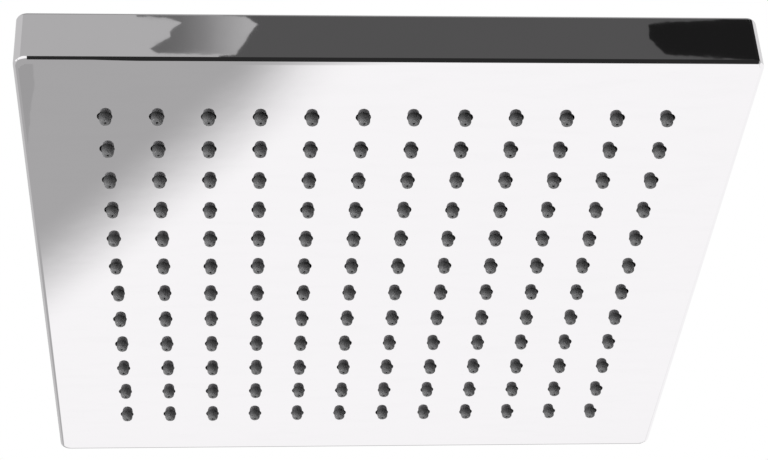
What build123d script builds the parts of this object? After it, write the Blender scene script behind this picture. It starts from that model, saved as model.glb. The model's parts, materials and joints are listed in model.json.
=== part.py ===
"""Square rain shower head with a swivelling ball connector.

Millimetres, +Z up. The origin is the centre of the inlet's mouth, where the supply pipe screws in, so the
head hangs below it and sprays along -Z. Levels are worked out downwards from that mouth.
"""
import math
import os

from build123d import *

# Head: outline of the chrome shell
HEAD_SIDE = 200.0
RIM_HEIGHT = 17.0
CORNER_R = 3.2
FACE_EDGE_R = 1.5
RIM_EDGE_R = 1.0
FACE_T = 2.0
WALL_T = 2.2
MIN_CORNER_R = 0.5

# Spray grid: as many nozzles as fit inside the margin, flat-sided because they repeat so often
PITCH = 14.0
EDGE_MARGIN = 20.0
NOZZLE_SIDES = 6
HOLE_D = 4.3
NOZZLE_ROOT_D = 4.0
NOZZLE_TIP_D = 3.3
NOZZLE_REACH = 2.3
JET_W = 0.9

# Nozzle mat and the plate that presses it against the face
MAT_T = 1.5
MAT_GAP = 0.3
PLATE_T = 2.0
SLOT_W = 5.0
SLOT_OVERRUN = 3.0
PLATE_RIBS = 3
PLATE_RIB_T = 1.5
PLATE_RIB_H = 2.5

# Screws that hold the plate: a boss on the shell stands in a pad on the plate
SCREW_INSET = 2
BOSS_D = 5.4
PILOT_D = 2.4
PAD_D = 9.0
PAD_H = 3.0
PAD_GAP = 0.2
SCREW_HEAD_D = 7.5
SCREW_HEAD_H = 1.8
SCREW_SHANK_D = 2.2
SCREW_LENGTH = 5.5

# Water chamber wall, its gasket and the channel that holds the gasket
DRY_GAP = 6.0
CHAMBER_WALL_T = 2.0
GASKET_H = 2.4
CHANNEL_DEPTH = 1.2
CHANNEL_GAP = 0.2
CHANNEL_RIB_T = 1.0

# Back cover, which drops inside the rim onto corner posts and snaps in
COVER_T = 2.2
COVER_GAP = 0.15
COVER_EDGE = 0.4
COVER_RIBS = 8
COVER_RIB_T = 1.8
COVER_RIB_GAP = 0.5
POST_GAP = 0.3
HOOKS_PER_SIDE = 3
HOOK_PITCH = 60.0
HOOK_W = 10.0
HOOK_T = 1.6
HOOK_DROP = 4.0
HOOK_GAP = 0.2
BARB_H = 2.0
CATCH_DEPTH = 1.0
CATCH_H = 1.6

# Ball joint: ball, the two rings round it, threaded boss and collar nut; latitudes and angles in degrees
BALL_R = 10.5
BALL_FLAT = 7.6
RING_T = 1.9
RING_GAP = 0.1
FRICTION_LOW = 8.0
FRICTION_HIGH = 35.0
SEAL_LOW = -45.0
SEAL_HIGH = -12.0
SEAT_SLOPE = 45.0
TILT = 12.0
NECK_R = 6.3
NECK_GAP = 0.4
NECK_EDGE = 0.8
LIP_T = 2.8
LIP_W = 2.4
BOSS_WALL = 2.35
BOSS_DROP = 1.0
THREAD_H = 8.0
THREAD_GAP = 0.1
COLLAR_WALL = 3.2
COLLAR_GAP = 0.3
COLLAR_EDGE = 0.6
CROWN_H = 3.4
FLUTES = 16
FLUTE_R = 2.0
FLUTE_DEPTH = 0.6
TURRET_H = 3.0
TURRET_STEP = 3.0
TURRET_FLARE = 9.0
WATER_R = 7.0

# Inlet: hexagon with a half-inch pipe thread, whose fine thread is left plain at its minor diameter
HEX_SIDES = 6
HEX_ACROSS = 25.0
HEX_CHAMFER = 1.2
HEX_FLOOR_T = 2.7
HEX_GAP = 1.0
THREAD_MINOR_R = 9.3
THREAD_LENGTH = 10.0
RELIEF_R = 10.6
SEAT_GAP = 0.3
BORE_R = 4.5

# Stack on the inlet's floor: flow restrictor, filter screen and washer
RESTRICTOR_R = 9.1
RESTRICTOR_T = 2.0
DISH_R = 6.0
DISH_DEPTH = 0.8
PORTS = 6
PORT_R = 0.8
PORT_CIRCLE_R = 2.6
SCREEN_T = 0.5
SCREEN_R = 8.4
MESH_COUNT = 5
MESH_PITCH = 2.0
MESH_HOLE = 1.3
WASHER_T = 2.5
WASHER_R = 10.3
WASHER_BORE_R = 6.4

# Radii of the ball joint, from the ball outwards
RING_IN_R = BALL_R + RING_GAP
RING_OUT_R = RING_IN_R + RING_T
SEAT_R = RING_OUT_R + RING_GAP
BOSS_R = SEAT_R + BOSS_WALL
COLLAR_BORE_R = BOSS_R + THREAD_GAP
COLLAR_R = COLLAR_BORE_R + COLLAR_WALL

# The head tilts about two level axes, and both tilts together lean it by this angle
LEAN = math.acos(math.cos(math.radians(TILT)) ** 2)
# The collar's mouth is a cone from the ball's centre that clears the neck at that lean
MOUTH_LATITUDE = 90 - math.degrees(LEAN + math.asin((NECK_R + NECK_GAP) / SEAT_R))
MOUTH_REACH = SEAT_R + LIP_T
COLLAR_RISE = MOUTH_REACH * math.sin(math.radians(MOUTH_LATITUDE))
COLLAR_TOP_R = MOUTH_REACH * math.cos(math.radians(MOUTH_LATITUDE)) + LIP_W
NECK_H = COLLAR_RISE * math.cos(LEAN) + COLLAR_TOP_R * math.sin(LEAN) + HEX_GAP

# Levels, from the inlet's mouth at zero down to the nozzle tips
WASHER_TOP_Z = -(THREAD_LENGTH + SEAT_GAP)
SCREEN_TOP_Z = WASHER_TOP_Z - WASHER_T
RESTRICTOR_TOP_Z = SCREEN_TOP_Z - SCREEN_T
SOCKET_Z = RESTRICTOR_TOP_Z - RESTRICTOR_T
HEX_LOW_Z = SOCKET_Z - HEX_FLOOR_T
BALL_Z = HEX_LOW_Z - NECK_H
BOSS_TOP_Z = BALL_Z - BOSS_DROP
COLLAR_LOW_Z = BOSS_TOP_Z - THREAD_H
TURRET_TOP_Z = COLLAR_LOW_Z - COLLAR_GAP
COVER_TOP_Z = TURRET_TOP_Z - TURRET_H
COVER_LOW_Z = COVER_TOP_Z - COVER_T
CHAMBER_TOP_Z = COVER_LOW_Z - GASKET_H
FACE_Z = COVER_TOP_Z - RIM_HEIGHT
FLOOR_Z = FACE_Z + FACE_T
MAT_TOP_Z = FLOOR_Z + MAT_T
PLATE_TOP_Z = MAT_TOP_Z + PLATE_T
PAD_TOP_Z = PLATE_TOP_Z + PAD_H
SCREW_TOP_Z = PAD_TOP_Z + SCREW_HEAD_H
COVER_RIB_LOW_Z = SCREW_TOP_Z + COVER_RIB_GAP
TIP_Z = FACE_Z - NOZZLE_REACH

# Plan sizes of the nested squares, from the rim inwards
INNER_SIDE = HEAD_SIDE - 2 * WALL_T
INNER_CORNER_R = max(CORNER_R - WALL_T, MIN_CORNER_R)
COVER_SIDE = INNER_SIDE - 2 * COVER_GAP
CHAMBER_SIDE = INNER_SIDE - 2 * DRY_GAP
CHAMBER_INNER = CHAMBER_SIDE - 2 * CHAMBER_WALL_T
MAT_SIDE = CHAMBER_INNER - 2 * MAT_GAP
POST_W = DRY_GAP - CHANNEL_GAP - CHANNEL_RIB_T - POST_GAP

# Nozzles in a row, and the screws' spacing: screws stand midway between nozzles
GRID = int((HEAD_SIDE - 2 * EDGE_MARGIN) // PITCH) + 1
SCREW_SPAN = (GRID - 2 * SCREW_INSET) * PITCH


def block(side, low, high, corner_r):
    """Square slab with rounded upright corners between two levels."""
    return Pos(0, 0, low) * extrude(RectangleRounded(side, side, corner_r), high - low)


def bar(length, width, low, high):
    """Square-cornered bar on the Z axis between two levels."""
    return Pos(0, 0, low) * extrude(Rectangle(length, width), high - low)


def square_ring(outer_side, inner_side, low, high):
    return bar(outer_side, outer_side, low, high) - bar(inner_side, inner_side, low, high)


def disc(radius, low, high):
    """Upright cylinder on the Z axis between two levels."""
    return Pos(0, 0, low) * extrude(Circle(radius), high - low)


def polygon_prism(across, low, high):
    """Upright prism with the nozzles' number of sides, measured across its flats."""
    return Pos(0, 0, low) * extrude(RegularPolygon(across / 2, NOZZLE_SIDES, False), high - low)


def turned(*corners):
    """Solid turned about the Z axis from a closed outline of radius and height pairs."""
    return revolve(Plane.XZ * make_face(Polyline(*corners, close=True)), Axis.Z)


def from_ball(distance, latitude):
    """Radius and height of a point at a distance and latitude from the ball's centre."""
    angle = math.radians(latitude)
    return (distance * math.cos(angle), distance * math.sin(angle))


def ball_ring(low, high):
    """Ring between two latitudes: its inner cone touches the ball's clearance midway."""
    inner_r = RING_IN_R / math.cos(math.radians(high - low) / 2)
    ring = turned(
        from_ball(inner_r, low),
        from_ball(RING_OUT_R, low),
        from_ball(RING_OUT_R, high),
        from_ball(inner_r, high),
    )
    return Pos(0, 0, BALL_Z) * ring


def nozzle_places():
    return GridLocations(PITCH, PITCH, GRID, GRID)


def screw_places():
    return GridLocations(SCREW_SPAN, SCREW_SPAN, 2, 2)


def hook_places():
    """Places along each of the four sides, turned so that +Y points out of the head."""
    along = GridLocations(HOOK_PITCH, 0, HOOKS_PER_SIDE, 1)
    return [Rot(0, 0, turn) * place for turn in (0, 90, 180, 270) for place in along]


def repeated(places, piece):
    return [place * piece for place in places]


def front_shell():
    """Chrome face and side walls in one moulding, with the wall of the water chamber inside."""
    shell = block(HEAD_SIDE, FACE_Z, COVER_TOP_Z, CORNER_R)
    shell = fillet(shell.faces().sort_by(Axis.Z)[0].edges(), FACE_EDGE_R)
    shell = fillet(shell.faces().sort_by(Axis.Z)[-1].edges(), RIM_EDGE_R)
    shell -= block(INNER_SIDE, FLOOR_Z, COVER_TOP_Z, INNER_CORNER_R)
    shell += square_ring(CHAMBER_SIDE, CHAMBER_INNER, FLOOR_Z, CHAMBER_TOP_Z)

    boss = disc(BOSS_D / 2, FLOOR_Z, PAD_TOP_Z) - disc(PILOT_D / 2, FLOOR_Z, PAD_TOP_Z)
    shell += repeated(screw_places(), boss)
    post_span = INNER_SIDE - POST_W
    post = bar(POST_W, POST_W, FLOOR_Z, COVER_LOW_Z)
    shell += repeated(GridLocations(post_span, post_span, 2, 2), post)

    # catches under which the cover's hooks snap
    catch_z = COVER_LOW_Z - HOOK_DROP
    catch_y = (INNER_SIDE - CATCH_DEPTH) / 2
    catch = Pos(0, catch_y, 0) * bar(HOOK_W, CATCH_DEPTH, catch_z, catch_z + CATCH_H)
    shell += repeated(hook_places(), catch)
    return shell - repeated(nozzle_places(), polygon_prism(HOLE_D, FACE_Z, FLOOR_Z))


def nozzle_mat():
    """Silicone sheet with every nozzle moulded on it and a jet through each."""
    sheet = block(MAT_SIDE, FLOOR_Z, MAT_TOP_Z, MIN_CORNER_R)
    sheet -= repeated(screw_places(), disc(BOSS_D / 2 + PAD_GAP, FLOOR_Z, MAT_TOP_Z))

    stem = polygon_prism(NOZZLE_ROOT_D, TIP_Z, FLOOR_Z)
    taper = math.atan2(NOZZLE_TIP_D - NOZZLE_ROOT_D, 2 * (FLOOR_Z - TIP_Z))
    sides = stem.faces().filter_by(Plane.XY, reverse=True)
    nozzle = draft(sides, Plane.XY.offset(FLOOR_Z), math.degrees(taper))
    jet = bar(JET_W, JET_W, TIP_Z, MAT_TOP_Z)
    return sheet + repeated(nozzle_places(), nozzle) - repeated(nozzle_places(), jet)


def pressure_plate():
    """Slotted plate over the mat: one slot feeds each row, cross ribs keep it flat."""
    plate = block(MAT_SIDE, MAT_TOP_Z, PLATE_TOP_Z, MIN_CORNER_R)
    slot_length = PITCH * (GRID - 1) + 2 * SLOT_OVERRUN
    slot = bar(slot_length, SLOT_W, MAT_TOP_Z, PLATE_TOP_Z)
    plate -= repeated(GridLocations(0, PITCH, 1, GRID), slot)

    rib = bar(PLATE_RIB_T, MAT_SIDE, PLATE_TOP_Z, PLATE_TOP_Z + PLATE_RIB_H)
    plate += repeated(GridLocations(SCREW_SPAN / (PLATE_RIBS - 1), 0, PLATE_RIBS, 1), rib)
    plate += repeated(screw_places(), disc(PAD_D / 2, MAT_TOP_Z, PAD_TOP_Z))
    return plate - repeated(screw_places(), disc(BOSS_D / 2 + PAD_GAP, MAT_TOP_Z, PAD_TOP_Z))


def plate_screws():
    """Washer-head screws: each head sits on its boss and holds the pad down."""
    head = disc(SCREW_HEAD_D / 2, PAD_TOP_Z, SCREW_TOP_Z)
    screw = head + disc(SCREW_SHANK_D / 2, PAD_TOP_Z - SCREW_LENGTH, PAD_TOP_Z)
    return Compound(repeated(screw_places(), screw))


def cover_gasket():
    """Square rubber ring between the chamber wall and the cover."""
    return square_ring(CHAMBER_SIDE, CHAMBER_INNER, CHAMBER_TOP_Z, COVER_LOW_Z)


def cover_hook():
    """Snap hook at the middle of one side, its barb under the shell's catch."""
    outer_y = INNER_SIDE / 2 - CATCH_DEPTH - HOOK_GAP
    inner_y = outer_y - HOOK_T
    barb_y = INNER_SIDE / 2 - HOOK_GAP
    barb_top = COVER_LOW_Z - HOOK_DROP - HOOK_GAP
    barb_low = barb_top - BARB_H
    side = Polyline(
        (inner_y, COVER_LOW_Z),
        (outer_y, COVER_LOW_Z),
        (outer_y, barb_top),
        (barb_y, barb_top),
        (outer_y, barb_low),
        (inner_y, barb_low),
        close=True,
    )
    return extrude(Plane.YZ * make_face(side), HOOK_W / 2, both=True)


def ball_pocket():
    """Space inside the cover for the lower half of the ball, its seal and the water's way in."""
    slope = math.radians(SEAT_SLOPE)
    throat_drop = (SEAT_R - WATER_R * math.cos(slope)) / math.sin(slope)
    pocket = turned(
        (0, -BOSS_DROP),
        (SEAT_R, -BOSS_DROP),
        (SEAT_R, -SEAT_R * math.tan(slope / 2)),
        (WATER_R, -throat_drop),
        (WATER_R, COVER_RIB_LOW_Z - BALL_Z),
        (0, COVER_RIB_LOW_Z - BALL_Z),
    )
    return Pos(0, 0, BALL_Z) * pocket


def back_cover():
    """Chrome back with a raised turret, a threaded boss and the lower half of the ball's seat."""
    cover = block(COVER_SIDE, COVER_LOW_Z, COVER_TOP_Z, INNER_CORNER_R)
    cover = chamfer(cover.faces().sort_by(Axis.Z)[-1].edges(), COVER_EDGE)
    shoulder_r = BOSS_R + TURRET_STEP
    cover += turned(
        (0, COVER_LOW_Z),
        (shoulder_r + TURRET_FLARE, COVER_LOW_Z),
        (shoulder_r + TURRET_FLARE, COVER_TOP_Z),
        (shoulder_r, TURRET_TOP_Z),
        (BOSS_R, TURRET_TOP_Z),
        (BOSS_R, BOSS_TOP_Z),
        (0, BOSS_TOP_Z),
    )

    outer_channel = CHAMBER_SIDE + 2 * CHANNEL_GAP
    inner_channel = CHAMBER_INNER - 2 * CHANNEL_GAP
    inner_face = inner_channel - 2 * CHANNEL_RIB_T
    channel_low = COVER_LOW_Z - CHANNEL_DEPTH
    cover += square_ring(outer_channel + 2 * CHANNEL_RIB_T, outer_channel, channel_low, COVER_LOW_Z)
    cover += square_ring(inner_channel, inner_face, channel_low, COVER_LOW_Z)
    cover += repeated(hook_places(), cover_hook())

    rib = Pos(inner_face / 4, 0, 0) * bar(inner_face / 2, COVER_RIB_T, COVER_RIB_LOW_Z, COVER_LOW_Z)
    cover += repeated(PolarLocations(0, COVER_RIBS), rib)
    return cover - ball_pocket()


def ball_seal():
    """Rubber seal under the ball."""
    return ball_ring(SEAL_LOW, SEAL_HIGH)


def friction_ring():
    """Plastic ring over the ball, which the collar nut presses down."""
    return ball_ring(FRICTION_LOW, FRICTION_HIGH)


def collar_nut():
    """Fluted nut on the boss, with the upper half of the ball's seat and a flared mouth."""
    foot = COLLAR_LOW_Z - BALL_Z
    seat_low = COLLAR_GAP - BOSS_DROP
    crown_low = COLLAR_RISE - CROWN_H
    mouth_low = SEAT_R / math.cos(math.radians(MOUTH_LATITUDE - SEAT_SLOPE))
    nut = turned(
        (COLLAR_BORE_R, foot),
        (COLLAR_BORE_R, seat_low),
        (SEAT_R, seat_low),
        (SEAT_R, SEAT_R * math.tan(math.radians(SEAT_SLOPE) / 2)),
        from_ball(mouth_low, MOUTH_LATITUDE),
        from_ball(MOUTH_REACH, MOUTH_LATITUDE),
        (COLLAR_TOP_R, COLLAR_RISE),
        (COLLAR_R, crown_low),
        (COLLAR_R, foot + COLLAR_EDGE),
        (COLLAR_R - COLLAR_EDGE, foot),
    )
    flute = disc(FLUTE_R, foot, crown_low)
    nut -= repeated(PolarLocations(COLLAR_R + FLUTE_R - FLUTE_DEPTH, FLUTES), flute)
    return Pos(0, 0, BALL_Z) * nut


def ball_connector():
    """Brass swivel: hexagon with the inlet socket, neck and hollow ball."""
    flat_r = HEX_ACROSS / 2
    corner_r = flat_r / math.cos(math.pi / HEX_SIDES)
    body = extrude(RegularPolygon(flat_r, HEX_SIDES, False), HEX_LOW_Z)
    body &= turned(
        (0, 0),
        (flat_r, 0),
        (corner_r, -HEX_CHAMFER),
        (corner_r, HEX_LOW_Z + HEX_CHAMFER),
        (flat_r, HEX_LOW_Z),
        (0, HEX_LOW_Z),
    )
    body += turned(
        (0, HEX_LOW_Z),
        (NECK_R + NECK_EDGE, HEX_LOW_Z),
        (NECK_R, HEX_LOW_Z - NECK_EDGE),
        (NECK_R, BALL_Z),
        (0, BALL_Z),
    )
    ball = Pos(0, 0, BALL_Z) * Sphere(BALL_R)
    body += ball - disc(BALL_R, BALL_Z - BALL_R, BALL_Z - BALL_FLAT)

    body -= disc(BORE_R, BALL_Z - BALL_FLAT, SOCKET_Z)
    body -= disc(RELIEF_R, SOCKET_Z, -THREAD_LENGTH)
    return body - disc(THREAD_MINOR_R, -THREAD_LENGTH, 0)


def flow_restrictor():
    """Dished plastic disc on the inlet's floor, with a ring of small ports."""
    restrictor = disc(RESTRICTOR_R, SOCKET_Z, RESTRICTOR_TOP_Z)
    restrictor -= disc(DISH_R, RESTRICTOR_TOP_Z - DISH_DEPTH, RESTRICTOR_TOP_Z)
    port = disc(PORT_R, SOCKET_Z, RESTRICTOR_TOP_Z)
    return restrictor - repeated(PolarLocations(PORT_CIRCLE_R, PORTS), port)


def filter_screen():
    """Perforated steel disc that keeps grit out of the nozzles."""
    screen = disc(SCREEN_R, RESTRICTOR_TOP_Z, SCREEN_TOP_Z)
    hole = bar(MESH_HOLE, MESH_HOLE, RESTRICTOR_TOP_Z, SCREEN_TOP_Z)
    return screen - repeated(GridLocations(MESH_PITCH, MESH_PITCH, MESH_COUNT, MESH_COUNT), hole)


def inlet_washer():
    """Rubber washer that the supply pipe presses on, held in the relief below the thread."""
    return disc(WASHER_R, SCREEN_TOP_Z, WASHER_TOP_Z) - disc(WASHER_BORE_R, SCREEN_TOP_Z, WASHER_TOP_Z)


SUB_PARTS = (
    front_shell,
    nozzle_mat,
    pressure_plate,
    plate_screws,
    cover_gasket,
    back_cover,
    ball_seal,
    friction_ring,
    collar_nut,
    ball_connector,
    flow_restrictor,
    filter_screen,
    inlet_washer,
)

os.makedirs("parts", exist_ok=True)
for make in SUB_PARTS:
    export_step(make(), f"parts/{make.__name__}.step")
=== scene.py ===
"""Finished looks of a square rain shower head, laid out as an add-on and run as a script.

Metres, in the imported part's own frame: the inlet's mouth is the origin and the head sprays along -Z.
"""

import json
import math
import random

import bmesh
import bpy
from bmesh.types import BMEdge, BMFace, BMVert
from bpy.props import (
    FloatProperty,
    FloatVectorProperty,
    IntProperty,
    PointerProperty,
)
from mathutils import Matrix, Vector


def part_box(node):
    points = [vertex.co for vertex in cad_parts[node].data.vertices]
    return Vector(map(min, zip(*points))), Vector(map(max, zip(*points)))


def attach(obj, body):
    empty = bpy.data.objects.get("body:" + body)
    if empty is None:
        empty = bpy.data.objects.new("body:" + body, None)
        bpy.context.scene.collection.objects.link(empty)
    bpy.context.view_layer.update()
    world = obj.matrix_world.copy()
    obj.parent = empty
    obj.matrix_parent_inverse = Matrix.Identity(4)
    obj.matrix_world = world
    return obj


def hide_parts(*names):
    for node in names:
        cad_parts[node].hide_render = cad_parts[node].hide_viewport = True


bl_info = {
    "name": "Rain shower head",
    "version": (1, 0, 0),
    "blender": (4, 5, 0),
    "location": "3D View > Sidebar > Shower",
    "description": "Chrome shell, soft nozzles, swivel connector and a plain studio",
    "category": "Object",
}

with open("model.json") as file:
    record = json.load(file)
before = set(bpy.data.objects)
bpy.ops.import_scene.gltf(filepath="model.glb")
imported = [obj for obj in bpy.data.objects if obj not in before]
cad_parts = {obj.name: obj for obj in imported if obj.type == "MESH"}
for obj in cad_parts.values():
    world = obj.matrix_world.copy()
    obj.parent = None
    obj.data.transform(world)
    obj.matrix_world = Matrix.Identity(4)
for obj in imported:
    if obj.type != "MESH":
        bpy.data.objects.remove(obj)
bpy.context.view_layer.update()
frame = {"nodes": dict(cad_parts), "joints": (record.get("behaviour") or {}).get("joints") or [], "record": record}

MM = 0.001
MERGE = 1e-6
SHELL_LOW, SHELL_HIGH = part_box("front_shell")
MAT_LOW, MAT_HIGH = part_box("nozzle_mat")
COVER_LOW, COVER_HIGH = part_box("back_cover")
COLLAR_LOW, COLLAR_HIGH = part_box("collar_nut")
SWIVEL_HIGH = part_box("ball_connector")[1]
WASHER_LOW, WASHER_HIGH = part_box("inlet_washer")
SCREEN_LOW, SCREEN_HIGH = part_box("filter_screen")
BALL_Z = frame["joints"][0]["pos_m"][2]

# The bore round the ball's two rings, and how far it reaches above and below the ball's middle.
SEAT_R = 12.6 * MM
SEAT_REACH = 5.22 * MM
# The root of the pipe thread.
ROOT_R = 10.4 * MM


def length(name, description, value):
    """Length property in metres, given in millimetres."""
    return FloatProperty(
        name=name, description=description, default=value * MM, unit="LENGTH", precision=5
    )


def colour(name, description, value):
    """Colour property without alpha."""
    return FloatVectorProperty(
        name=name, description=description, default=value, size=3, min=0, max=1, subtype="COLOR"
    )


class ShellSizes(bpy.types.PropertyGroup):
    """Sizes of the chrome shell and its holes."""

    corner_r: length("Corner radius", "Rounding of the upright corners", 3.2)
    face_edge_r: length("Face edge radius", "Rounding between the spray face and the sides", 1.5)
    rim_edge_r: length("Rim edge radius", "Rounding along the top of the sides", 1.0)
    face_t: length("Face thickness", "Thickness of the spray face", 2.0)
    wall_t: length("Wall thickness", "Thickness of the sides", 2.2)
    flat_margin: length("Flat margin", "Strip that keeps the face flat up to its rounding", 0.5)
    hole_r: length("Hole radius", "Radius of each nozzle's hole", 2.03)
    hole_lip: length("Hole lip", "Rounding of each hole's rim", 0.1)


class NozzleSizes(bpy.types.PropertyGroup):
    """Sizes of the nozzles and how unevenly they stand."""

    pitch: length("Pitch", "Spacing of the nozzles", 14.0)
    count: IntProperty(name="Count", description="Nozzles along each side", default=12, min=1)
    base_r: length("Base radius", "Radius of a nozzle where it leaves the face", 1.8)
    tip_r: length("Tip radius", "Radius of a nozzle above its rounded tip", 1.6)
    jet_r: length("Jet radius", "Radius of the water's outlet", 0.4)
    shrink: length("Shrinkage", "How far the outermost nozzles lie inwards of their holes' middles", 0.2)
    drift: length("Drift", "Largest random offset of a nozzle in its hole", 0.16)
    lean: FloatProperty(
        name="Lean", description="Largest random lean of a nozzle", default=math.radians(4), subtype="ANGLE"
    )
    seed: IntProperty(name="Seed", description="Start of the random offsets", default=7)


class BackSizes(bpy.types.PropertyGroup):
    """Sizes of the back cover, collar nut and connector."""

    cover_edge: length("Cover edge", "Rounding of the cover's upper edge", 0.5)
    soft_edge: length("Soft edge", "Rounding of turned edges", 0.4)
    flutes: IntProperty(name="Flutes", description="Grip flutes round the collar nut", default=16, min=3)
    flute_depth: length("Flute depth", "Depth of each grip flute", 0.6)
    thread_pitch: length("Thread pitch", "Rise of the pipe thread in each turn", 1.814)
    thread_turns: FloatProperty(name="Thread turns", description="Turns of the pipe thread", default=4.75)
    gauze_pitch: length("Gauze pitch", "Spacing of the filter's wires", 0.72)
    gauze_wire: length("Gauze wire", "Thickness of the filter's wires", 0.2)


class Finishes(bpy.types.PropertyGroup):
    """Colours of the finishes."""

    chrome: colour("Chrome", "Bright plating", (0.952, 0.936, 0.952))
    brass_chrome: colour("Connector chrome", "Bright plating on turned brass", (0.87, 0.87, 0.88))
    silicone: colour("Silicone", "Soft nozzles", (0.19, 0.19, 0.193))
    rubber: colour("Rubber", "Seals and washers", (0.022, 0.022, 0.023))
    inner_plastic: colour("Inner plastic", "Unplated mouldings inside", (0.45, 0.45, 0.46))
    white_plastic: colour("White plastic", "Friction ring and flow restrictor", (0.78, 0.78, 0.76))
    steel: colour("Steel", "Screws and filter", (0.60, 0.60, 0.60))


class StageSettings(bpy.types.PropertyGroup):
    """Camera, floor and light of the studio."""

    camera_place: FloatVectorProperty(
        name="Camera place",
        description="Where the camera stands",
        default=(-0.0435445, -0.5170698, -0.4237259),
        subtype="TRANSLATION",
        unit="LENGTH",
    )
    camera_turn: FloatVectorProperty(
        name="Camera turn",
        description="How the camera is turned",
        default=(math.radians(126.2537), math.radians(2.5493), math.radians(-3.3897)),
        subtype="EULER",
        unit="ROTATION",
    )
    camera_lens: FloatProperty(name="Lens", description="Focal length", default=98.06, unit="CAMERA")
    floor_z: length("Floor level", "Height of the floor, seen from the inlet's mouth", -1600.0)
    floor_colour: colour("Floor", "Pale floor", (0.86, 0.86, 0.86))
    room_light: FloatProperty(name="Room light", description="Light from all round", default=0.2, min=0)
    room_mirrored: FloatProperty(
        name="Mirrored room", description="Brightness of the room in the chrome", default=0.43, min=0
    )


class Value:
    """A shader socket whose arithmetic adds Math nodes."""

    def __init__(self, tree, socket):
        self.tree = tree
        self.socket = socket

    def math(self, operation, first, second):
        node = self.tree.add("ShaderNodeMath", {"operation": operation}, {0: first, 1: second})
        return self.tree.value(node)

    def __add__(self, other):
        return self.math("ADD", self, other)

    def __radd__(self, other):
        return self.math("ADD", other, self)

    def __mul__(self, other):
        return self.math("MULTIPLY", self, other)

    def __rmul__(self, other):
        return self.math("MULTIPLY", other, self)

    def most(self, other):
        return self.math("MAXIMUM", self, other)


class Nodes:
    """A cleared node tree, and one way to add any node to it."""

    def __init__(self, owner):
        owner.use_nodes = True
        self.tree = owner.node_tree
        self.tree.nodes.clear()

    def add(self, kind, settings=None, sockets=None):
        """Add a node: its settings first, then the values or links of its sockets."""
        node = self.tree.nodes.new(kind)
        for name, setting in (settings or {}).items():
            setattr(node, name, setting)
        for name, given in (sockets or {}).items():
            if isinstance(given, Value):
                self.tree.links.new(given.socket, node.inputs[name])
            else:
                node.inputs[name].default_value = given
        return node

    def value(self, node, output=0):
        return Value(self, node.outputs[output])

    def get(self, kind, settings=None, sockets=None, output=0):
        """Add a node and return one of its outputs."""
        return self.value(self.add(kind, settings, sockets), output)

    def noise(self, place, scale, detail=2.0):
        sockets = {"Vector": place, "Scale": scale, "Detail": detail, "Roughness": 0.5}
        return self.get("ShaderNodeTexNoise", None, sockets, "Fac")

    def blend(self, factor, first, second):
        """Mix two colours."""
        return self.get("ShaderNodeMix", {"data_type": "RGBA"}, {0: factor, 6: first, 7: second}, 2)

    def spread(self, value, low, high, to_low=0.0, to_high=1.0):
        """Map a value's range smoothly onto another."""
        return self.get(
            "ShaderNodeMapRange",
            {"interpolation_type": "SMOOTHSTEP"},
            {0: value, 1: low, 2: high, 3: to_low, 4: to_high},
        )

    def fall(self, value, low, high):
        """One below a range and nothing above it."""
        return self.spread(value, low, high, to_low=1.0, to_high=0.0)

    def object_place(self):
        return self.get("ShaderNodeTexCoord", None, None, "Object")

    def along(self, place, axis):
        """One coordinate of a place."""
        return self.get("ShaderNodeSeparateXYZ", None, {0: place}, axis)

    def stretched(self, place, scale, turn=0.0):
        return self.get(
            "ShaderNodeMapping", None, {"Vector": place, "Scale": scale, "Rotation": (0, 0, turn)}
        )

    def bump(self, height, distance):
        """The normal of a height that is scaled to a distance."""
        sockets = {"Height": height, "Strength": 1.0, "Distance": distance}
        return self.get("ShaderNodeBump", None, sockets, "Normal")

    def glow(self, tone):
        return self.get("ShaderNodeEmission", None, {"Color": tone, "Strength": 1.0})

    def mixed(self, factor, first, second):
        """Mix two shaders."""
        return self.get("ShaderNodeMixShader", None, {0: factor, 1: first, 2: second})

    def surface(self, shader):
        self.add("ShaderNodeOutputMaterial", None, {"Surface": shader})

    def principled(self, sockets):
        self.surface(self.get("ShaderNodeBsdfPrincipled", None, sockets))


def shade(tint, share):
    """A colour times a share of its brightness, with alpha."""
    return (*(part * share for part in tint), 1.0)


def grey(tone):
    return (tone, tone, tone, 1.0)


def chrome(name, tint, wave, roughness=0.012):
    """Bright plating: faint ripples of the moulding under it, wiped streaks and fine haze."""
    wear = 0.006
    material = bpy.data.materials.new(name)
    nodes = Nodes(material)
    place = nodes.object_place()
    wiping = nodes.stretched(place, scale=(1.0, 5.0, 1.0), turn=0.6)
    streaks = nodes.noise(wiping, scale=60.0, detail=4.0)
    haze = nodes.noise(place, scale=1400.0)
    wiped = nodes.spread(streaks, low=0.45, high=0.75)
    ripple = nodes.noise(place, scale=70.0, detail=2.5)
    nodes.principled(
        {
            "Base Color": nodes.blend(wiped * 0.7 + haze * 0.3, shade(tint, 1.0), shade(tint, 0.985)),
            "Metallic": 1.0,
            "Roughness": roughness + wiped * wear + haze * wear,
            "Normal": nodes.bump(ripple, wave),
        }
    )
    return material


def soft_moulding(name, tint, roughness, grain, scale, painted_shade=None):
    """Matt moulded rubber or plastic, clouded and finely grained.

    Painted shade is two levels: the colour stays as given below the first and is painted darker, as shade, above
    the second.
    """
    material = bpy.data.materials.new(name)
    nodes = Nodes(material)
    place = nodes.object_place()
    cloud = nodes.noise(place, scale=scale, detail=3.0)
    pores = nodes.noise(place, scale=scale * 9.0)
    tone = nodes.blend(cloud, shade(tint, 0.92), shade(tint, 1.08))
    if painted_shade:
        # Painted shade: the colour darkens from the first level up to the second.
        shaded_share = nodes.spread(nodes.along(place, "Z"), *painted_shade)
        tone = nodes.blend(shaded_share, tone, shade(tint, 0.45))
    nodes.principled(
        {
            "Base Color": tone,
            "Roughness": roughness + pores * 0.12,
            "Specular IOR Level": 0.4,
            "Normal": nodes.bump(pores, grain),
        }
    )
    return material


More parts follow.
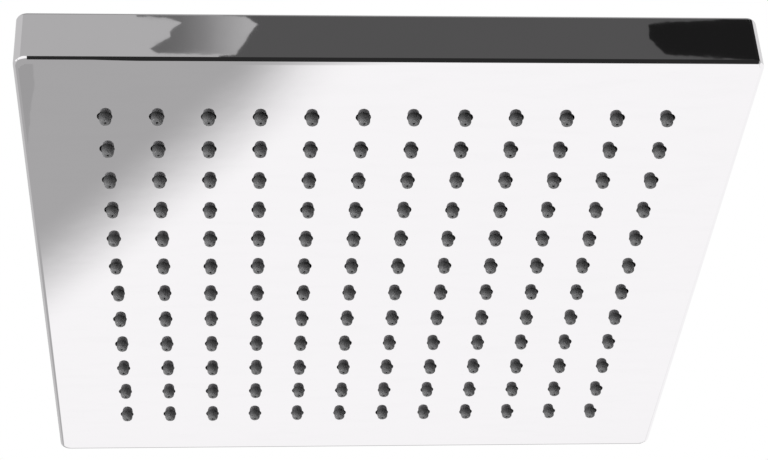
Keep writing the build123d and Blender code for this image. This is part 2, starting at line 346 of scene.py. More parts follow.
def brushed_steel(name, tint):
    """Plain stainless steel with drawn lines."""
    material = bpy.data.materials.new(name)
    nodes = Nodes(material)
    drawn = nodes.stretched(nodes.object_place(), scale=(12.0, 1.0, 1.0))
    lines = nodes.noise(drawn, scale=700.0, detail=3.0)
    nodes.principled(
        {
            "Base Color": nodes.blend(lines, shade(tint, 0.85), shade(tint, 1.08)),
            "Metallic": 1.0,
            "Roughness": 0.26 + lines * 0.16,
            "Normal": nodes.bump(lines, distance=4e-6),
        }
    )
    return material


def finish_for(slot):
    """The material of a slot, made on first use."""
    name = "finish_" + slot
    made = bpy.data.materials.get(name)
    if made:
        return made
    colours = bpy.context.scene.shower_finishes
    if slot == "chrome_connector":
        return chrome(name, colours.brass_chrome, wave=4e-6)
    if slot == "chrome_back":
        return chrome(name, colours.chrome, wave=8e-6, roughness=0.05)
    if slot == "chrome_shell":
        return chrome(name, colours.chrome, wave=9e-6)
    if slot == "nozzle_silicone":
        # Painted shade where the nozzles meet the face: darker from 2.1 mm below the face up to 0.3 mm below it.
        painted_shade = (SHELL_LOW.z - 2.1 * MM, SHELL_LOW.z - 0.3 * MM)
        return soft_moulding(name, colours.silicone, roughness=0.5, grain=1e-6, scale=200.0, painted_shade=painted_shade)
    if slot == "black_rubber":
        return soft_moulding(name, colours.rubber, roughness=0.55, grain=1.5e-5, scale=300.0)
    if slot == "inner_plastic":
        return soft_moulding(name, colours.inner_plastic, roughness=0.42, grain=8e-6, scale=160.0)
    if slot == "white_plastic":
        return soft_moulding(name, colours.white_plastic, roughness=0.38, grain=6e-6, scale=200.0)
    return brushed_steel(name, colours.steel)


def only(kind, items):
    """The vertices, the edges or the faces among mixed items."""
    return [item for item in items if isinstance(item, kind)]


def everything(bm):
    return bm.verts[:] + bm.edges[:] + bm.faces[:]


def edges_at(verts):
    """Every edge that ends at one of some vertices."""
    return list({edge for vert in verts for edge in vert.link_edges})


def upright_edges(bm):
    return [edge for edge in bm.edges if abs(edge.verts[0].co.z - edge.verts[1].co.z) > MM]


def level_face(bm, pick):
    """The face whose middle is highest or lowest."""
    return pick(bm.faces, key=lambda face: face.calc_center_median().z)


def boundary_at(bm, level, wire=False):
    """Open edges, or bare ones, that lie at one level."""
    return [
        edge
        for edge in bm.edges
        if (edge.is_wire if wire else edge.is_boundary)
        and all(abs(vert.co.z - level) < MERGE for vert in edge.verts)
    ]


def rounded(bm, edges, radius, segments):
    """Round some edges of a bmesh."""
    bmesh.ops.bevel(
        bm,
        geom=edges,
        offset=radius,
        offset_type="OFFSET",
        segments=segments,
        profile=0.5,
        affect="EDGES",
        material=-1,
        clamp_overlap=True,
        face_strength_mode="AFFECTED",
    )


def soften(bm, width, segments=2):
    """Round every sharp edge."""
    limit = math.radians(25)
    bm.normal_update()
    sharp = [edge for edge in bm.edges if edge.is_manifold and edge.calc_face_angle() > limit]
    rounded(bm, sharp, width, segments)


def slab(bm, low, high):
    """Block between two corners; returns its vertices."""
    verts = bmesh.ops.create_cube(bm, size=1.0)["verts"]
    bmesh.ops.scale(bm, verts=verts, vec=high - low)
    bmesh.ops.translate(bm, verts=verts, vec=(low + high) / 2)
    return verts


def turned(bm, outline, steps, closed=True):
    """Turn an outline of radius and height pairs about the Z axis."""
    verts = [bm.verts.new((radius, 0, height)) for radius, height in outline]
    followers = verts[1:] + verts[:1] if closed else verts[1:]
    edges = [bm.edges.new(pair) for pair in zip(verts, followers)]
    bmesh.ops.spin(
        bm,
        geom=verts + edges,
        cent=(0, 0, 0),
        axis=(0, 0, 1),
        angle=2 * math.pi,
        steps=steps,
        use_merge=True,
    )


def filled_at(bm, level):
    """Fill the flat between the open edge loops at one level."""
    bmesh.ops.triangle_fill(bm, edges=boundary_at(bm, level), use_beauty=True, normal=(0, 0, 1))


def copied(bm, places):
    """Replace everything in a bmesh by copies of it, one for each matrix."""
    model = everything(bm)
    for place in places:
        copy = bmesh.ops.duplicate(bm, geom=model)["geom"]
        bmesh.ops.transform(bm, verts=only(BMVert, copy), matrix=place)
    bmesh.ops.delete(bm, geom=only(BMVert, model), context="VERTS")


def lifted_ring(bm, edges, radius, level):
    """Extrude a round edge loop on the Z axis to a new radius and level; returns the new loop."""
    grown = bmesh.ops.extrude_edge_only(bm, edges=edges)["geom"]
    ring = set(only(BMVert, grown))
    for vert in ring:
        flat = vert.co.xy.normalized() * radius
        vert.co = (*flat, level)
    return [edge for edge in only(BMEdge, grown) if ring.issuperset(edge.verts)]


def linked(name, data):
    """A new object of the scene."""
    piece = bpy.data.objects.new(name, data)
    bpy.context.scene.collection.objects.link(piece)
    return piece


def meshed(bm, name):
    """Turn a bmesh into a mesh."""
    mesh = bpy.data.meshes.new(name)
    bm.to_mesh(mesh)
    bm.free()
    return mesh


def finished(bm, name, body, slot, *nodes):
    """Turn a bmesh into a smooth, closed piece that rides on a body and stands for CAD nodes."""
    bmesh.ops.remove_doubles(bm, verts=bm.verts, dist=MERGE)
    bmesh.ops.recalc_face_normals(bm, faces=bm.faces)
    mesh = meshed(bm, name)
    mesh.shade_smooth()
    mesh.set_sharp_from_angle(angle=math.radians(45))
    mesh.materials.append(finish_for(slot))
    piece = linked(name, mesh)
    flat_faces = piece.modifiers.new("flat_faces", "WEIGHTED_NORMAL")
    flat_faces.keep_sharp = True
    flat_faces.use_face_influence = True
    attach(piece, body)
    if nodes:
        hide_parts(*nodes)


def nozzle_places():
    """Middles of the nozzles on the spray face."""
    sizes = bpy.context.scene.shower_nozzles
    first = -sizes.pitch * (sizes.count - 1) / 2
    for row in range(sizes.count):
        for column in range(sizes.count):
            yield Vector((first + column * sizes.pitch, first + row * sizes.pitch, 0))


class SHOWER_OT_shell(bpy.types.Operator):
    """Chrome shell with rounded edges and a rolled rim at every nozzle hole"""

    bl_idname = "shower.shell"
    bl_label = "Chrome shell"

    def hole_field(self, sizes, pitch):
        """Every square of the spray face with its hole, as a mesh."""
        round_steps = 16
        face_z = SHELL_LOW.z
        floor_z = face_z + sizes.face_t
        bm = bmesh.new()
        rims = []
        for level, radius in ((face_z, sizes.hole_r + sizes.hole_lip), (floor_z, sizes.hole_r)):
            here = Matrix.Translation((0, 0, level))
            square = bmesh.ops.create_grid(
                bm, x_segments=1, y_segments=1, size=pitch / 2, matrix=here
            )["verts"]
            bmesh.ops.delete(bm, geom=list(square[0].link_faces), context="FACES_ONLY")
            bmesh.ops.subdivide_edges(bm, edges=edges_at(square), cuts=round_steps // 4 - 1)
            circle = bmesh.ops.create_circle(bm, segments=round_steps, radius=radius, matrix=here)["verts"]
            rims.append(edges_at(circle))
            bmesh.ops.bridge_loops(bm, edges=boundary_at(bm, level, wire=True))
        throat = lifted_ring(bm, rims[0], sizes.hole_r, face_z + sizes.hole_lip)
        bmesh.ops.bridge_loops(bm, edges=throat + rims[1])
        copied(bm, [Matrix.Translation(place) for place in nozzle_places()])
        bmesh.ops.remove_doubles(bm, verts=bm.verts, dist=MERGE)
        return meshed(bm, "hole_field")

    def execute(self, context):
        sizes = context.scene.shower_shell
        bm = bmesh.new()
        slab(bm, SHELL_LOW, SHELL_HIGH)
        rounded(bm, upright_edges(bm), sizes.corner_r, segments=8)
        rounded(bm, list(level_face(bm, min).edges), sizes.face_edge_r, segments=8)
        rounded(bm, list(level_face(bm, max).edges), sizes.rim_edge_r, segments=5)

        top, face = level_face(bm, max), level_face(bm, min)
        bmesh.ops.inset_individual(bm, faces=[face], thickness=sizes.flat_margin, use_even_offset=True)
        rim_flat = sizes.wall_t - sizes.rim_edge_r
        bmesh.ops.inset_region(bm, faces=[top], thickness=rim_flat, use_even_offset=True)
        dug = bmesh.ops.extrude_face_region(bm, geom=[top])["geom"]
        bmesh.ops.delete(bm, geom=[top], context="FACES_ONLY")
        floor_z = SHELL_LOW.z + sizes.face_t
        bmesh.ops.translate(bm, verts=only(BMVert, dug), vec=(0, 0, floor_z - SHELL_HIGH.z))
        bmesh.ops.delete(bm, geom=[*only(BMFace, dug), face], context="FACES_ONLY")

        field = self.hole_field(sizes, context.scene.shower_nozzles.pitch)
        bm.from_mesh(field)
        bpy.data.meshes.remove(field)
        for level in (SHELL_LOW.z, floor_z):
            filled_at(bm, level)
        finished(bm, "spray_shell", "head", "chrome_shell", "front_shell")
        return {"FINISHED"}


class SHOWER_OT_nozzles(bpy.types.Operator):
    """Soft sheet with a tapered, round-tipped nozzle in every hole"""

    bl_idname = "shower.nozzles"
    bl_label = "Silicone nozzles"

    def nozzle(self, sizes, face_t):
        """One nozzle that hangs straight down, with the middle of its foot at the origin."""
        lean_room = 0.1 * MM
        jet_depth = 0.7 * MM
        # Shares of the tip's radius, and heights above its end in millimetres.
        tip_round = ((1.0, 0.6), (0.92, 0.28), (0.76, 0.07), (0.54, 0.0))
        tip_z = MAT_LOW.z + lean_room - SHELL_LOW.z
        outline = (
            (sizes.base_r, face_t),
            (sizes.base_r, 0),
            *((sizes.tip_r * share, tip_z + height * MM) for share, height in tip_round),
            (sizes.jet_r, tip_z),
            (sizes.jet_r, tip_z + jet_depth),
        )
        bm = bmesh.new()
        turned(bm, outline, steps=12, closed=False)
        bmesh.ops.holes_fill(bm, edges=[edge for edge in bm.edges if edge.is_boundary], sides=0)
        return bm

    def stands(self, sizes, play):
        """Where every nozzle stands: drawn inwards, a little off its place and leaning."""
        chance = random.Random(sizes.seed)
        reach = sizes.pitch * (sizes.count - 1) / 2
        for place in nozzle_places():
            offset = place * (-sizes.shrink / reach)
            offset.x += chance.uniform(-sizes.drift, sizes.drift)
            offset.y += chance.uniform(-sizes.drift, sizes.drift)
            offset *= min(1.0, play / max(offset.length, MERGE))
            lean = Matrix.Rotation(chance.uniform(-sizes.lean, sizes.lean), 4, "X")
            lean = lean @ Matrix.Rotation(chance.uniform(-sizes.lean, sizes.lean), 4, "Y")
            yield Matrix.Translation(place + offset + Vector((0, 0, SHELL_LOW.z))) @ lean

    def execute(self, context):
        sizes = context.scene.shower_nozzles
        shell = context.scene.shower_shell
        sheet_edge = 0.3 * MM
        bm = self.nozzle(sizes, shell.face_t)
        copied(bm, self.stands(sizes, shell.hole_r - sizes.base_r))
        sheet = slab(bm, Vector((MAT_LOW.x, MAT_LOW.y, SHELL_LOW.z + shell.face_t)), MAT_HIGH)
        rounded(bm, edges_at(sheet), sheet_edge, segments=2)
        finished(bm, "silicone_nozzles", "head", "nozzle_silicone", "nozzle_mat")
        return {"FINISHED"}


class SHOWER_OT_cover(bpy.types.Operator):
    """Back cover with a raised turret round the ball joint"""

    bl_idname = "shower.cover"
    bl_label = "Back cover"

    def execute(self, context):
        sizes = context.scene.shower_back
        shell = context.scene.shower_shell
        plate_t = 2.2 * MM
        foot_r = 28.45 * MM
        # Radius and rise in millimetres of the turret's swept foot, its cone and its rounded shoulder.
        turret = ((26.75, 0.16), (25.55, 0.48), (18.9, 2.68), (18.4, 2.88), (17.7, 3.0))
        turret_rise = 3.0 * MM
        boss_r = 14.95 * MM
        boss_edge = 0.3 * MM
        outlet_r = 7.0 * MM
        top = SHELL_HIGH.z
        under = top - plate_t

        bm = bmesh.new()
        slab(bm, Vector((COVER_LOW.x, COVER_LOW.y, under)), Vector((COVER_HIGH.x, COVER_HIGH.y, top)))
        rounded(bm, upright_edges(bm), shell.corner_r - shell.wall_t, segments=4)
        rounded(bm, list(level_face(bm, max).edges), sizes.cover_edge, segments=3)
        for pick in (max, min):
            bmesh.ops.delete(bm, geom=[level_face(bm, pick)], context="FACES_ONLY")

        around = Matrix.Translation((0, 0, top))
        circle = bmesh.ops.create_circle(bm, segments=96, radius=foot_r, matrix=around)["verts"]
        ring = edges_at(circle)
        profile = (
            *((radius * MM, top + rise * MM) for radius, rise in turret),
            (boss_r, top + turret_rise),
            (boss_r, COVER_HIGH.z - boss_edge),
            (boss_r - boss_edge, COVER_HIGH.z),
            (SEAT_R, COVER_HIGH.z),
            (SEAT_R, BALL_Z - SEAT_REACH),
            (outlet_r, BALL_Z - SEAT_REACH - (SEAT_R - outlet_r)),
            (outlet_r, under),
        )
        for radius, level in profile:
            ring = lifted_ring(bm, ring, radius, level)
        for level in (top, under):
            filled_at(bm, level)
        finished(bm, "rear_cover", "head", "chrome_back", "back_cover")
        return {"FINISHED"}


class SHOWER_OT_collar(bpy.types.Operator):
    """Fluted collar nut that holds the ball"""

    bl_idname = "shower.collar"
    bl_label = "Collar nut"

    def flute(self, bm, sizes, outer, crown):
        """Press the grip flutes into the outer wall up to the crown."""
        ease = 1.5
        inner = outer - sizes.flute_depth * 1.5
        limit = crown + 0.2 * MM
        for vert in bm.verts:
            flat = vert.co.xy
            side = flat.length - inner
            if side > 0 and vert.co.z < limit:
                turn = math.atan2(flat.y, flat.x) * sizes.flutes
                dip = max(0.0, math.cos(turn)) ** ease * sizes.flute_depth
                vert.co.xy = flat * (1 - min(dip, side) / flat.length)

    def execute(self, context):
        sizes = context.scene.shower_back
        foot, top = COLLAR_LOW.z, COLLAR_HIGH.z
        outer = COLLAR_HIGH.x
        crown = top - 3.4 * MM
        crown_r = 14.03 * MM
        mouth_r = 11.63 * MM
        throat_r = 9.54 * MM
        thread_r = 15.05 * MM
        thread_top = BALL_Z - 0.7 * MM
        chamfer = 0.6 * MM
        outline = (
            (thread_r, foot),
            (thread_r, thread_top),
            (SEAT_R, thread_top),
            (SEAT_R, BALL_Z + SEAT_REACH),
            (throat_r, BALL_Z + SEAT_REACH + (SEAT_R - throat_r)),
            (mouth_r, top),
            (crown_r, top),
            (outer, crown),
            (outer, foot + chamfer),
            (outer - chamfer, foot),
        )
        steps_per_flute = 10
        bm = bmesh.new()
        turned(bm, outline, sizes.flutes * steps_per_flute)
        soften(bm, sizes.soft_edge)
        self.flute(bm, sizes, outer, crown)
        finished(bm, "fluted_collar", "head", "chrome_back", "collar_nut")
        return {"FINISHED"}


class SHOWER_OT_connector(bpy.types.Operator):
    """Hexagon inlet with its pipe thread, neck and hollow ball"""

    bl_idname = "shower.connector"
    bl_label = "Swivel connector"

    def outline(self, flat_r, corner_r):
        """Half section: down the inlet and the bore, round the ball and up the neck and the hexagon."""
        mouth_out, mouth_deep = 0.6 * MM, 0.7 * MM
        thread_low = -10.0 * MM
        pocket_r, pocket_low = 10.6 * MM, -15.3 * MM
        bore_r = 4.5 * MM
        ball_r, ball_low = 10.5 * MM, -7.6 * MM
        ball_steps = 16
        neck_r, neck_flare = 6.3 * MM, 0.8 * MM
        hex_low = -18.0 * MM
        hex_in, hex_slope = 0.3 * MM, 1.3 * MM
        points = [
            (ROOT_R + mouth_out, 0),
            (ROOT_R, -mouth_deep),
            (ROOT_R, thread_low),
            (pocket_r, thread_low),
            (pocket_r, pocket_low),
            (bore_r, pocket_low),
            (bore_r, BALL_Z + ball_low),
        ]
        first = math.asin(ball_low / ball_r)
        last = math.acos(neck_r / ball_r)
        for step in range(ball_steps + 1):
            angle = first + (last - first) * step / ball_steps
            points.append((ball_r * math.cos(angle), BALL_Z + ball_r * math.sin(angle)))
        points += [
            (neck_r, hex_low - neck_flare),
            (neck_r + neck_flare, hex_low),
            (flat_r - hex_in, hex_low),
            (corner_r, hex_low + hex_slope),
            (corner_r, -hex_slope),
            (flat_r - hex_in, 0),
        ]
        return points

    def body(self):
        """Turned body with the flats of the hexagon cut off."""
        corner_cut = 0.2 * MM
        flat_r = SWIVEL_HIGH.y
        corner_r = flat_r / math.cos(math.pi / 6) - corner_cut
        bm = bmesh.new()
        turned(bm, self.outline(flat_r, corner_r), steps=96)
        for side in range(6):
            turn = math.radians(30 + 60 * side)
            out = Vector((math.cos(turn), math.sin(turn), 0))
            cut = bmesh.ops.bisect_plane(
                bm, geom=everything(bm), plane_co=out * flat_r, plane_no=out, clear_outer=True
            )["geom_cut"]
            bmesh.ops.contextual_create(bm, geom=only(BMEdge, cut))
        soften(bm, width=0.25 * MM)
        finished(bm, "swivel_connector", "connector", "chrome_connector", "ball_connector")

    def thread(self, sizes):
        """Ridge of the pipe thread, wound up from its lower end and sunk into the wall."""
        steps_per_turn = 48
        crest_share, root_share = 0.16, 0.85
        crest_r = 9.4 * MM
        sunk_r = ROOT_R + 0.1 * MM
        mouth_clear = 1.0 * MM
        crest = sizes.thread_pitch / 2 * crest_share
        root = sizes.thread_pitch / 2 * root_share
        steps = int(steps_per_turn * sizes.thread_turns)
        rise = sizes.thread_pitch * sizes.thread_turns
        section = ((sunk_r, -root), (crest_r, -crest), (crest_r, crest), (sunk_r, root))
        bm = bmesh.new()
        ridge = [bm.verts.new((radius, 0, height - rise - mouth_clear)) for radius, height in section]
        end = bm.faces.new(ridge)
        bmesh.ops.spin(
            bm,
            geom=[*ridge, *end.edges, end],
            cent=(0, 0, 0),
            axis=(0, 0, 1),
            dvec=(0, 0, rise / steps),
            angle=2 * math.pi * sizes.thread_turns,
            steps=steps,
        )
        finished(bm, "inlet_thread", "connector", "chrome_connector")

    def execute(self, context):
        self.body()
        self.thread(context.scene.shower_back)
        return {"FINISHED"}


class SHOWER_OT_inlet(bpy.types.Operator):
    """Wire filter and rubber washer at the bottom of the inlet"""

    bl_idname = "shower.inlet"
    bl_label = "Inlet filter and washer"

    def gauze(self, sizes):
        """Round wire gauze whose crossings lie up and down in turn."""
        weave = sizes.gauze_wire * 0.3
        middle = (SCREEN_LOW.z + SCREEN_HIGH.z) / 2
        reach = SCREEN_HIGH.x
        count = int(2 * reach / sizes.gauze_pitch)
        bm = bmesh.new()
        bmesh.ops.create_grid(
            bm,
            x_segments=count,
            y_segments=count,
            size=count * sizes.gauze_pitch / 2,
            matrix=Matrix.Translation((0, 0, middle)),
        )
        outside = [vert for vert in bm.verts if vert.co.xy.length > reach - sizes.gauze_wire]
        bmesh.ops.delete(bm, geom=outside, context="VERTS")
        for vert in bm.verts:
            column = round((vert.co.x / sizes.gauze_pitch) + count / 2)
            row = round((vert.co.y / sizes.gauze_pitch) + count / 2)
            vert.co.z += weave if (column + row) % 2 else -weave
        bmesh.ops.wireframe(
            bm,
            faces=bm.faces[:],
            thickness=sizes.gauze_wire,
            use_replace=True,
            use_boundary=True,
            use_even_offset=True,
        )
        finished(bm, "inlet_gauze", "connector", "steel", "filter_screen")

    def washer(self, sizes):
        """Flat rubber ring with soft edges."""
        bore_r = 6.4 * MM
        outer = WASHER_HIGH.x
        low, high = WASHER_LOW.z, WASHER_HIGH.z
        bm = bmesh.new()
        turned(bm, ((bore_r, low), (outer, low), (outer, high), (bore_r, high)), steps=64)
        soften(bm, sizes.soft_edge, segments=3)
        finished(bm, "pipe_washer", "connector", "black_rubber", "inlet_washer")

    def execute(self, context):
        sizes = context.scene.shower_back
        self.gauze(sizes)
        self.washer(sizes)
        return {"FINISHED"}


class SHOWER_OT_inner_finishes(bpy.types.Operator):
    """Finishes of the CAD pieces that stay as they are"""

    bl_idname = "shower.inner_finishes"
    bl_label = "Inner finishes"

    def execute(self, context):
        for subpart in frame["record"]["subparts"]:
            mesh = frame["nodes"][subpart["node"]].data
            mesh.materials.clear()
            mesh.materials.append(finish_for(subpart["material_slot"]))
        return {"FINISHED"}


def block(start, end, bottom, top):
    """Corners of a rectangle, in order round it."""
    return ((start, bottom), (end, bottom), (end, top), (start, top))


class SHOWER_OT_stage(bpy.types.Operator):
    """Pale floor, soft studio light, flags that the chrome mirrors, and the camera"""

    bl_idname = "shower.stage"
    bl_label = "Studio"

    # Half the floor's side, how far off the side cards stand, and where the front flags hang.
    far = 8.0
    side = 1.6
    front = -1.5

    def room(self, settings):
        """The room: white where the camera sees it, grey in mirrors and a dimmer light all round."""
        world = bpy.data.worlds.new("studio")
        bpy.context.scene.world = world
        nodes = Nodes(world)
        path = nodes.add("ShaderNodeLightPath")
        tone = nodes.blend(
            nodes.value(path, "Is Glossy Ray"), grey(settings.room_light), grey(settings.room_mirrored)
        )
        tone = nodes.blend(nodes.value(path, "Is Camera Ray"), tone, grey(1.0))
        light = nodes.get("ShaderNodeBackground", None, {"Color": tone, "Strength": 1.0})
        nodes.add("ShaderNodeOutputWorld", None, {"Surface": light})

    def panel(self, name, corners, material):
        """Flat piece of the stage with any number of corners."""
        bm = bmesh.new()
        verts = bmesh.ops.create_circle(bm, segments=len(corners), radius=1.0, cap_ends=True)["verts"]
        for vert, corner in zip(verts, corners):
            vert.co = corner
        mesh = meshed(bm, name)
        mesh.materials.append(material)
        piece = linked(name, mesh)
        return piece

    def floor(self, settings):
        """Pale floor: white to the camera and to mirrors, with part of its own light and shadow."""
        white_share = 0.96
        material = bpy.data.materials.new("studio_floor")
        nodes = Nodes(material)
        path = nodes.add("ShaderNodeLightPath")
        seen = nodes.value(path, "Is Camera Ray").most(nodes.value(path, "Is Glossy Ray"))
        seen = seen.most(nodes.value(path, "Is Transmission Ray"))
        lit = nodes.get("ShaderNodeBsdfDiffuse", None, {"Color": (*settings.floor_colour, 1.0)})
        nodes.surface(nodes.mixed(seen * white_share, lit, nodes.glow(grey(1.0))))
        square = block(-self.far, self.far, -self.far, self.far)
        self.panel("studio_floor", [(x, y, settings.floor_z) for x, y in square], material)

    def flag(self, name, corners, tone, run=None, cover=None):
        """Card that only the chrome mirrors.

        Run is the axis, the start, the end and the last tone of a card whose tone changes.
        Cover is a function that gives where the card shows.
        """
        material = bpy.data.materials.new(name)
        nodes = Nodes(material)
        paint = grey(tone)
        if run:
            axis, start, end, last_tone = run
            ramp = nodes.spread(nodes.along(nodes.object_place(), axis), start, end)
            paint = nodes.blend(ramp * ramp, paint, grey(last_tone))
        shader = nodes.glow(paint)
        if cover:
            shader = nodes.mixed(cover(nodes), nodes.get("ShaderNodeBsdfTransparent"), shader)
        nodes.surface(shader)
        piece = self.panel(name, corners, material)
        piece.visible_camera = False
        piece.visible_diffuse = False
        piece.visible_shadow = False
        piece.visible_transmission = False

    def upright(self, name, y, places, tone, **more):
        """Flag that faces the front."""
        self.flag(name, [(x, y, z) for x, z in places], tone, **more)

    def beside(self, name, x, places, tone, **more):
        """Flag that faces a side."""
        self.flag(name, [(x, y, z) for y, z in places], tone, **more)

    def lying(self, name, z, places, tone, **more):
        """Flag that lies flat."""
        self.flag(name, [(x, y, z) for x, y in places], tone, **more)

    def floor_shade(self, nodes):
        """Where the grey card lies on the floor: left of a slanting line, with a soft edge."""
        place = nodes.object_place()
        slanted = nodes.stretched(place, scale=(1.0, 1.0, 1.0), turn=-math.atan2(0.614, 0.79))
        left = nodes.fall(nodes.along(slanted, "X"), low=0.98, high=1.16)
        return left * nodes.fall(nodes.along(place, "X"), low=-0.04, high=0.16)

    def far_shade(self, nodes):
        """Where the mirrored floor turns grey: far from the head and in front of it."""
        place = nodes.object_place()
        away = nodes.get("ShaderNodeVectorMath", {"operation": "LENGTH"}, {0: place}, "Value")
        ahead = nodes.fall(nodes.along(place, "Y"), low=-1.3, high=-0.9)
        return nodes.spread(away, low=3.0, high=5.0).most(ahead)

    def near_shade(self, reach):
        """Where a strip at an edge shows: only in the chrome within its reach, with a soft end."""

        def cover(nodes):
            away = nodes.get("ShaderNodeLightPath", None, None, "Ray Length")
            return nodes.fall(away, low=reach * 0.75, high=reach)

        return cover

    def front_flags(self):
        """Dark flags before the head, whose ragged ends the front wall mirrors."""
        mid_left = (
            (-0.125, 1.1645), (-0.1345, 1.17), (-0.1105, 1.189), (-0.1105, 1.197),
            (-0.0986, 1.21), (-0.1109, 1.2165), (-0.1495, 1.2212), (-0.1495, 1.23),
        )
        mid_right = (
            (-0.0247, 1.23), (-0.0247, 1.2208), (-0.0097, 1.2085), (-0.0341, 1.1675), (-0.036, 1.1645),
        )
        fade = ("X", mid_left[-1][0], mid_right[2][0], 0.42)
        self.upright("flag_mid", self.front, mid_left + mid_right, tone=0.13, run=fade)
        sill, lintel = 0.7, 1.5
        dark_left = ((-0.0513, 1.2221), *mid_right[1:], (-0.055, 1.161), (-0.055, sill))
        dark_right = ((self.side, sill), (self.side, lintel), (-0.0513, lintel))
        self.upright("flag_dark", self.front, dark_left + dark_right, tone=0.086)
        black_left = ((0.6, 1.216), (0.4476, 1.2052), (0.4458, 1.18), (0.4621, 1.1585), (0.504, 1.154))
        black_right = ((self.side, 1.05), (self.side, 1.7))
        self.upright("flag_black", self.front + 0.01, black_left + black_right, tone=0.011)

    def edge_strips(self):
        """Strips in the empty corners beside the rounded edges, just behind the walls' planes."""
        behind = 0.005 * MM
        front, left, right = SHELL_LOW.y + behind, SHELL_LOW.x + behind, SHELL_HIGH.x - behind
        near = self.near_shade(2.0 * MM)

        start, end = SHELL_LOW.x + 3.9 * MM, SHELL_HIGH.x - 1.2 * MM
        thin_end, wide_start = -79.0 * MM, -62.0 * MM
        foot, thin_foot, brow = (SHELL_LOW.z + height * MM for height in (-0.66, 0.27, 1.5))
        thin_part = ((start, thin_foot), (thin_end, thin_foot))
        wide_part = ((wide_start, foot), (end, foot), (end, brow), (start, brow))
        fade = ("Z", foot, foot + 0.4 * MM, 0.022)
        self.upright("flag_edge", front, thin_part + wide_part, tone=0.5, run=fade, cover=near)

        rim = block(SHELL_LOW.y + 0.2 * MM, SHELL_HIGH.y, SHELL_LOW.z - 1.3 * MM, brow)
        self.beside("card_rim", right, rim, tone=0.95, cover=self.near_shade(4.0 * MM))

        # Millimetres from the left front corner of the face: along the wall, and up.
        glint = ((0.2, 0.2), (3.9, 0.85), (3.9, 1.5), (0.2, 1.4))
        glint = [(SHELL_LOW.x + along * MM, SHELL_LOW.z + up * MM) for along, up in glint]
        self.upright("card_glint", front, glint, tone=1.0, cover=near)
        turn = block(0.2, 1.3, 0.3, 1.3)
        turn = [(SHELL_LOW.y + along * MM, SHELL_LOW.z + up * MM) for along, up in turn]
        self.beside("card_turn", left, turn, tone=1.0, cover=near)

    def cards(self, floor_z):
        """Cards to the sides, above and on the floor, which light and shade the chrome."""
        far_level, low, edge_level = (floor_z + lift for lift in (0.01, 0.02, 0.021))
        high, shelf = 2.2, 0.6
        corner, back, far_end = -0.36, 1.9, 6.0
        self.beside("flag_side", self.side, block(self.front, corner, 0.9, 1.8), tone=0.014)
        self.beside("card_right", self.side, block(corner, back, shelf, high), tone=0.7)
        under = ((corner, shelf), (corner, low), (far_end, low))
        behind = ((far_end, high), (back, high), (back, shelf))
        brighten = ("Y", 1.85, 2.1, 0.95)
        self.beside("card_right_low", self.side, under + behind, tone=0.55, run=brighten)
        self.beside("card_left", -self.side, block(-1.45, 4.0, -0.8, high), tone=0.55)
        self.lying("card_top", high, block(-1.5, 1.5, -2.0, 3.0), tone=0.3, run=("Y", -0.8, 1.6, 0.8))
        whole = block(-self.far, self.far, -self.far, self.far)
        self.lying("card_far", far_level, whole, tone=0.45, cover=self.far_shade)
        left = block(-self.far, 0.4, -3.0, self.far)
        self.lying("card_floor", low, left, tone=0.395, cover=self.floor_shade)
        edge = (
            (-0.355, 1.63), (-0.3085, 1.64), (-0.309, 1.70), (-0.325, 1.79), (-0.335, 1.88), (-0.36, 1.88),
        )
        self.lying("card_edge", edge_level, edge, tone=0.345)

    def lamp(self, name, place, size, power):
        """Soft square lamp that faces the head, and that the chrome doesn't mirror."""
        light = bpy.data.lights.new(name, "AREA")
        light.shape = "SQUARE"
        light.size = size
        light.energy = power
        lamp = linked(name, light)
        lamp.location = place
        head = Vector((0, 0, -0.05))
        lamp.rotation_euler = (head - Vector(place)).to_track_quat("-Z", "Y").to_euler()
        lamp.visible_glossy = False

    def camera(self, settings):
        """The camera at the photograph's viewing angle."""
        view = bpy.data.cameras.new("photo_camera")
        view.lens = settings.camera_lens
        view.clip_start = 0.01
        camera = linked("photo_camera", view)
        camera.location = settings.camera_place
        camera.rotation_euler = settings.camera_turn
        bpy.context.scene.camera = camera

    def execute(self, context):
        settings = context.scene.shower_stage
        context.scene.view_settings.view_transform = "Standard"
        self.room(settings)
        self.floor(settings)
        self.front_flags()
        self.edge_strips()
        self.cards(settings.floor_z)
        self.lamp("lamp_top", (0.3, 0.2, 1.7), size=2.0, power=22.0)
        self.lamp("lamp_low_left", (-1.5, -0.1, -0.8), size=0.9, power=27.0)
        self.camera(settings)
        return {"FINISHED"}


class SHOWER_PT_sidebar(bpy.types.Panel):
    """Sizes, finishes and studio of the shower head"""

    bl_idname = "SHOWER_PT_sidebar"
    bl_label = "Rain shower head"
    bl_space_type = "VIEW_3D"
    bl_region_type = "UI"
    bl_category = "Shower"

    def draw(self, context):
        for name in GROUPS:
            group = getattr(context.scene, name)
            box = self.layout.box()
            for key in group.__annotations__:
                box.prop(group, key)
        for operator in OPERATORS:
            self.layout.operator(operator.bl_idname)


GROUPS = {
    "shower_shell": ShellSizes,
    "shower_nozzles": NozzleSizes,
    "shower_back": BackSizes,
    "shower_finishes": Finishes,
    "shower_stage": StageSettings,
}
OPERATORS = (
    SHOWER_OT_inner_finishes,
    SHOWER_OT_shell,
    SHOWER_OT_nozzles,
    SHOWER_OT_cover,
    SHOWER_OT_collar,
    SHOWER_OT_connector,
    SHOWER_OT_inlet,
    SHOWER_OT_stage,
)
CLASSES = (*GROUPS.values(), *OPERATORS, SHOWER_PT_sidebar)


def register():
    for item in CLASSES:
        bpy.utils.register_class(item)
    for name, group in GROUPS.items():
        setattr(bpy.types.Scene, name, PointerProperty(type=group))


def unregister():
    for name in GROUPS:
        delattr(bpy.types.Scene, name)
    for item in reversed(CLASSES):
        bpy.utils.unregister_class(item)


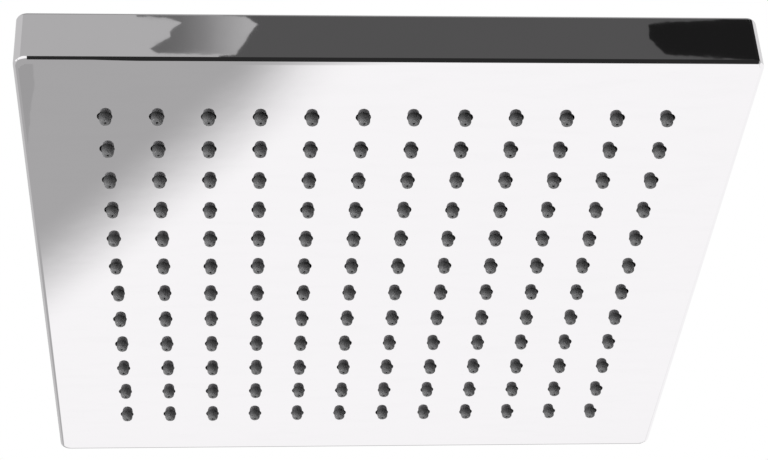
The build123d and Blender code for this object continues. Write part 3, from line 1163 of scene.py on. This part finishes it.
def main():
    register()
    bpy.ops.shower.inner_finishes()
    bpy.ops.shower.shell()
    bpy.ops.shower.nozzles()
    bpy.ops.shower.cover()
    bpy.ops.shower.collar()
    bpy.ops.shower.connector()
    bpy.ops.shower.inlet()
    bpy.ops.shower.stage()


if __name__ == "__main__":
    main()
